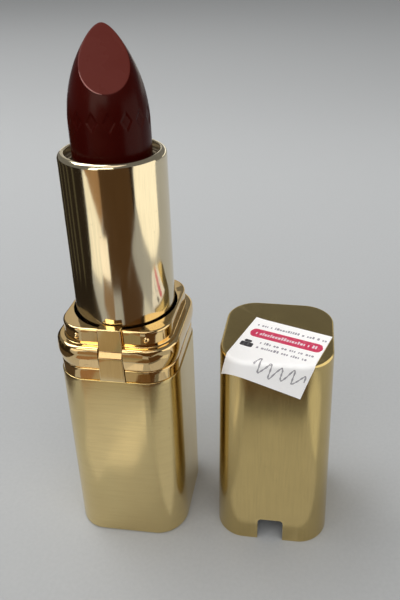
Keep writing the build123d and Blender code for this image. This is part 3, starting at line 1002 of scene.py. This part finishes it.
def reflector(name, distance, outline, colour):
    """A curved card round the object that only the gloss sees, from (azimuth, height) corners.

    Azimuths are degrees round from -Y towards +X, and each edge is split so that it follows the curve.
    """
    bm = bmesh.new()
    verts = []
    for (azimuth_a, z_a), (azimuth_b, z_b) in zip(outline, outline[1:] + outline[:1]):
        steps = max(1, int(abs(azimuth_b - azimuth_a) / CARD_CURVE_STEP))
        for step in range(steps):
            share = step / steps
            angle = math.radians(azimuth_a + (azimuth_b - azimuth_a) * share)
            height = z_a + (z_b - z_a) * share
            place = Vector((distance * math.sin(angle), -distance * math.cos(angle), height))
            verts.append(bm.verts.new(place * MM))
    bm.faces.new(verts)
    bmesh.ops.triangulate(bm, faces=bm.faces)
    card_object(name, bm, colour)


def floor_card(name, low, high, height, colour):
    """A level card that only the gloss sees."""
    bm = bmesh.new()
    corners = ((low[0], low[1]), (high[0], low[1]), (high[0], high[1]), (low[0], high[1]))
    bm.faces.new([bm.verts.new(Vector((x, y, height)) * MM) for x, y in corners])
    card_object(name, bm, colour)


def upright_card(name, across, y, up, colour):
    """A flat card standing square to Y that only the gloss sees."""
    bm = bmesh.new()
    corners = ((across[0], up[0]), (across[1], up[0]), (across[1], up[1]), (across[0], up[1]))
    bm.faces.new([bm.verts.new(Vector((x, y, z)) * MM) for x, z in corners])
    card_object(name, bm, colour)


def card_object(name, bm, colour):
    """Makes a card from its mesh."""
    card = plain_object(name, bm)
    set_material(card, card_material(name, colour))
    card.visible_camera = False
    card.visible_diffuse = False
    card.visible_shadow = False
    card.visible_transmission = False


def make_world():
    """Grey surroundings, a little lighter towards the horizon."""
    world = bpy.data.worlds.new("room")
    bpy.context.scene.world = world
    world.use_nodes = True
    tree = world.node_tree
    background = tree.nodes["Background"]
    coords = tree.nodes.new("ShaderNodeTexCoord")
    split = tree.nodes.new("ShaderNodeSeparateXYZ")
    ramp = tree.nodes.new("ShaderNodeValToRGB")
    tree.links.new(coords.outputs["Generated"], split.inputs["Vector"])
    tree.links.new(split.outputs["Z"], ramp.inputs["Fac"])
    tree.links.new(ramp.outputs["Color"], background.inputs["Color"])
    ramp.color_ramp.elements[0].position = 0.0
    ramp.color_ramp.elements[0].color = (0.20, 0.20, 0.20, 1)
    ramp.color_ramp.elements[1].position = 0.6
    ramp.color_ramp.elements[1].color = (0.17, 0.17, 0.17, 1)
    background.inputs["Strength"].default_value = 1.0


make_camera()
make_floor()
make_world()
soft_light("key", (-400, 160, 840), (5, 60, 0), (600, 600), 4.6)
soft_light("edge", (-350, -330, 340), (5, 0, 30), (220, 220), 0.5, glossy=False)
soft_light("back", (0, 175, 190), (0, 175, 0), (900, 40), 0.22, glossy=False)
soft_sun("fill", (-0.25, 0.62, -0.74), 1.35)

# Cards that only the gloss sees. They stand in for the room that the gold mirrors.
reflector("dark_left", 75, [(-135, 0), (-135, 70), (-52, 70), (-52, 0)], (0.024, 0.018, 0.012))
reflector("dark_left_edge", 76, [(-53, 8), (-53, 70), (-46, 70), (-46, 22)], (0.024, 0.018, 0.012))
for streak in (-118, -101, -88, -72):
    reflector("olive_streak", 74, [(streak, 10), (streak, 66), (streak + 4, 66), (streak + 3, 16)],
              (0.11, 0.10, 0.065))
strip_outline = [(-46, 44), (-42, 48), (-38, 42), (-18, 28), (-16, 17), (-30, 10), (-50, 15), (-44, 30)]
reflector("strip_left", 80, strip_outline, (1.2, 1.15, 1.0))
reflector("tan_left", 81, [(-40, 44), (-40, 66), (-12, 66), (-12, 30), (-18, 27)], (0.40, 0.24, 0.12))
brown_outline = [(-12, 92), (52, 92), (52, 34), (32, 23), (20, 13), (-4, 13), (-18, 23), (-12, 34)]
reflector("brown_front", 70, brown_outline, (0.085, 0.046, 0.020))
reflector("dark_edge", 69, [(45, 92), (54, 92), (54, 38), (47, 30)], (0.018, 0.010, 0.006))
reflector("bright_right", 78, [(56, 92), (110, 92), (110, 24), (96, 17), (82, 17), (66, 24), (56, 34)],
          (1.3, 1.25, 1.1))
upright_card("front_high", (-260, 120), -400, (95, 460), (3.2, 3.2, 2.6))
upright_card("back_left", (-175, -45), 235, (110, 280), (0.50, 0.48, 0.44))
upright_card("back_band", (-200, 260), 300, (62, 110), (1.3, 1.3, 1.2))
upright_card("step_glow", (-12, -3), -30, (38, 47), (1.3, 1.2, 1.05))
floor_card("above", (-60, -230), (130, -40), 400, (1.3, 1.2, 1.15))
floor_card("dark_ahead", (9, -47), (48, -40), 0.4, (0.17, 0.17, 0.16))
floor_card("bright_beside", (50, -44), (75, -14), FLOOR_CARD_HEIGHT, (0.75, 0.75, 0.70))
# Cards flat on the table. The plated collar mirrors the far, middle and near rows, the glow cards light
# the lower parts of the base and the cap, and the two dark ones darken the case's left side.
for name, low, high, colour in (
    ("far_orange", (-42, -95), (-10, -73), (0.30, 0.20, 0.12)),
    ("middle_tan", (-34, -73), (-26, -61), (0.39, 0.37, 0.33)),
    ("middle_gold", (-26, -73), (-19.5, -61), (0.36, 0.30, 0.20)),
    ("middle_olive", (-19.5, -73), (-8, -61), (0.29, 0.28, 0.21)),
    ("middle_brown", (-8, -73), (15, -61), (0.17, 0.12, 0.07)),
    ("near_orange", (-34, -61), (-21, -44), (0.33, 0.20, 0.12)),
    ("near_tan", (-21, -61), (-10, -47), (0.40, 0.36, 0.28)),
    ("near_brown", (-10, -61), (15, -47), (0.15, 0.09, 0.045)),
    ("brown_right", (15, -92), (75, -47), (0.09, 0.05, 0.025)),
    ("base_glow", (-24, -44), (-9, -20), (0.62, 0.61, 0.60)),
    ("base_bright", (-9, -42), (-3, -24), (0.85, 0.82, 0.78)),
    ("cap_glow", (10, -40), (48, -11), (0.51, 0.51, 0.50)),
    ("dark_left_ahead", (-80, -60), (-45, -38), (0.05, 0.035, 0.02)),
    ("dark_left_beside", (-75, -38), (-46, 25), (0.08, 0.06, 0.04)),
):
    floor_card(name, low, high, FLOOR_CARD_HEIGHT, colour)
bpy.context.scene.view_settings.view_transform = "Standard"

# ======================================================================
# The object
# ======================================================================
base_gold = gold_material(
    "base_gold_satin", (0.80, 0.64, 0.31), (0.74, 0.58, 0.28),
    rough=0.20, brush=0.0006, wave=0.02, edge_wear=0.6, streaks=(0.15, 0.15, 5.0),
)
collar_gold = gold_material(
    "collar_gold_plated", (0.88, 0.65, 0.33), (0.82, 0.59, 0.29),
    rough=0.07, brush=0.0003, wave=0.01, edge_wear=0.7,
)
sleeve_gold = gold_material(
    "sleeve_gold_polished", (0.80, 0.70, 0.50), (0.76, 0.66, 0.46),
    rough=0.11, brush=0.0003, wave=0.005, edge_wear=0.5,
)
# Painted shade: the cap's gold is the base's gold made darker, standing in for the darker surroundings the
# cap mirrors.
cap_gold_painted_shade = gold_material(
    "cap_gold_satin", (0.66, 0.51, 0.22), (0.60, 0.46, 0.20),
    rough=0.19, brush=0.0010, wave=0.02, edge_wear=0.6,
)
wax = wax_material()
paper = paper_material()

set_material(make_base_shell(), base_gold)
set_material(make_collar(), collar_gold)
set_material(make_clasp(), collar_gold)
set_material(make_sleeve(), sleeve_gold)
set_material(make_bullet(), wax)
set_material(make_cap_shell(), cap_gold_painted_shade)
set_material(make_sticker(), paper)
inks = {
    "red": ink_material("ink_red", (0.62, 0.02, 0.09)),
    "black": ink_material("ink_black", (0.022, 0.020, 0.024)),
    "white": ink_material("ink_white", (0.85, 0.70, 0.74)),
    "grey": ink_material("ink_grey", (0.32, 0.30, 0.34)),
    "pen": ink_material("ink_pen", (0.36, 0.35, 0.37)),
}
for piece, ink in make_print():
    set_material(piece, inks[ink])

inside_plastic = plastic_material("liner_plastic_dark", (0.03, 0.027, 0.022), 0.45)
tube_plastic = plastic_material("mechanism_plastic_tan", (0.35, 0.29, 0.20), 0.4)
label = plastic_material("label_paper_pale", (0.62, 0.60, 0.55), 0.55)
ring_rubber = plastic_material("drag_ring_rubber", (0.02, 0.02, 0.02), 0.6)
slug_steel = gold_material(
    "slug_steel", (0.52, 0.53, 0.54), (0.45, 0.46, 0.47),
    rough=0.35, brush=0.002, wave=0.01, edge_wear=0.4,
)
for node, material in (
    ("base_liner", inside_plastic),
    ("cap_liner", inside_plastic),
    ("guide_tube", tube_plastic),
    ("cam_tube", tube_plastic),
    ("bullet_cup", tube_plastic),
    ("shade_label", label),
    ("drag_ring", ring_rubber),
    ("base_weight", slug_steel),
):
    set_material(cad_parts[node], material)
